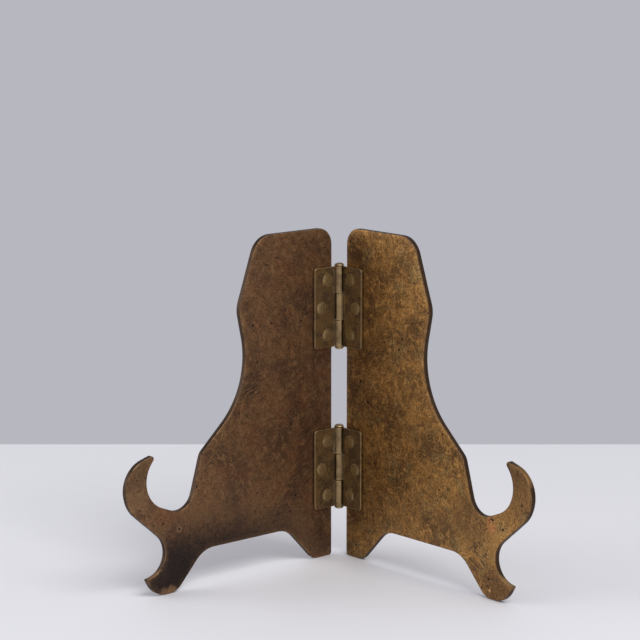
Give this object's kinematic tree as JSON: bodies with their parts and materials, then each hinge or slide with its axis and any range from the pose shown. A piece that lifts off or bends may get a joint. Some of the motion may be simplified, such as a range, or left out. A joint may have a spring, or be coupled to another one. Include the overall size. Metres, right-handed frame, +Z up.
{
  "type": "plate display stand",
  "caption": "Folding bronze plate stand: flat scroll-cut panels hinged down the back open like a book, with hooks for the plate's rim and uprights it leans on.",
  "frame": {"origin": "centre of the footprint's bounding box, on the surface the stand rests on", "axes": "+Z up along the hinge pins, -Y the front that the plate faces, +X towards the stand's left-hand side as it looks out, which is the right of someone facing it"},
  "size_m": [0.1814, 0.0899, 0.1574],
  "materials": {
    "bronze_sheet": "brown patinated bronze, satin, pitted",
    "hinge_brass": "aged brass, satin",
    "pin_brass": "aged brass, rubbed",
    "rivet_brass": "aged brass, hammered"
  },
  "bodies": {
    "right_side": {"right_panel": "bronze_sheet", "lower_hinge_right_leaf": "hinge_brass", "upper_hinge_right_leaf": "hinge_brass", "lower_hinge_right_rivet_low": "rivet_brass", "lower_hinge_right_rivet_middle": "rivet_brass", "lower_hinge_right_rivet_high": "rivet_brass", "upper_hinge_right_rivet_low": "rivet_brass", "upper_hinge_right_rivet_middle": "rivet_brass", "upper_hinge_right_rivet_high": "rivet_brass", "lower_hinge_pin": "pin_brass", "upper_hinge_pin": "pin_brass"},
    "left_side": {"left_panel": "bronze_sheet", "lower_hinge_left_leaf": "hinge_brass", "upper_hinge_left_leaf": "hinge_brass", "lower_hinge_left_rivet_low": "rivet_brass", "lower_hinge_left_rivet_middle": "rivet_brass", "lower_hinge_left_rivet_high": "rivet_brass", "upper_hinge_left_rivet_low": "rivet_brass", "upper_hinge_left_rivet_middle": "rivet_brass", "upper_hinge_left_rivet_high": "rivet_brass"}
  },
  "joints": [
    {"name": "fold", "type": "hinge", "parent": "right_side", "child": "left_side", "pos_m": [0, 0.04235, 0], "axis": [0, 0, -1], "range_deg": [-89.4, 90.6]}
  ]
}
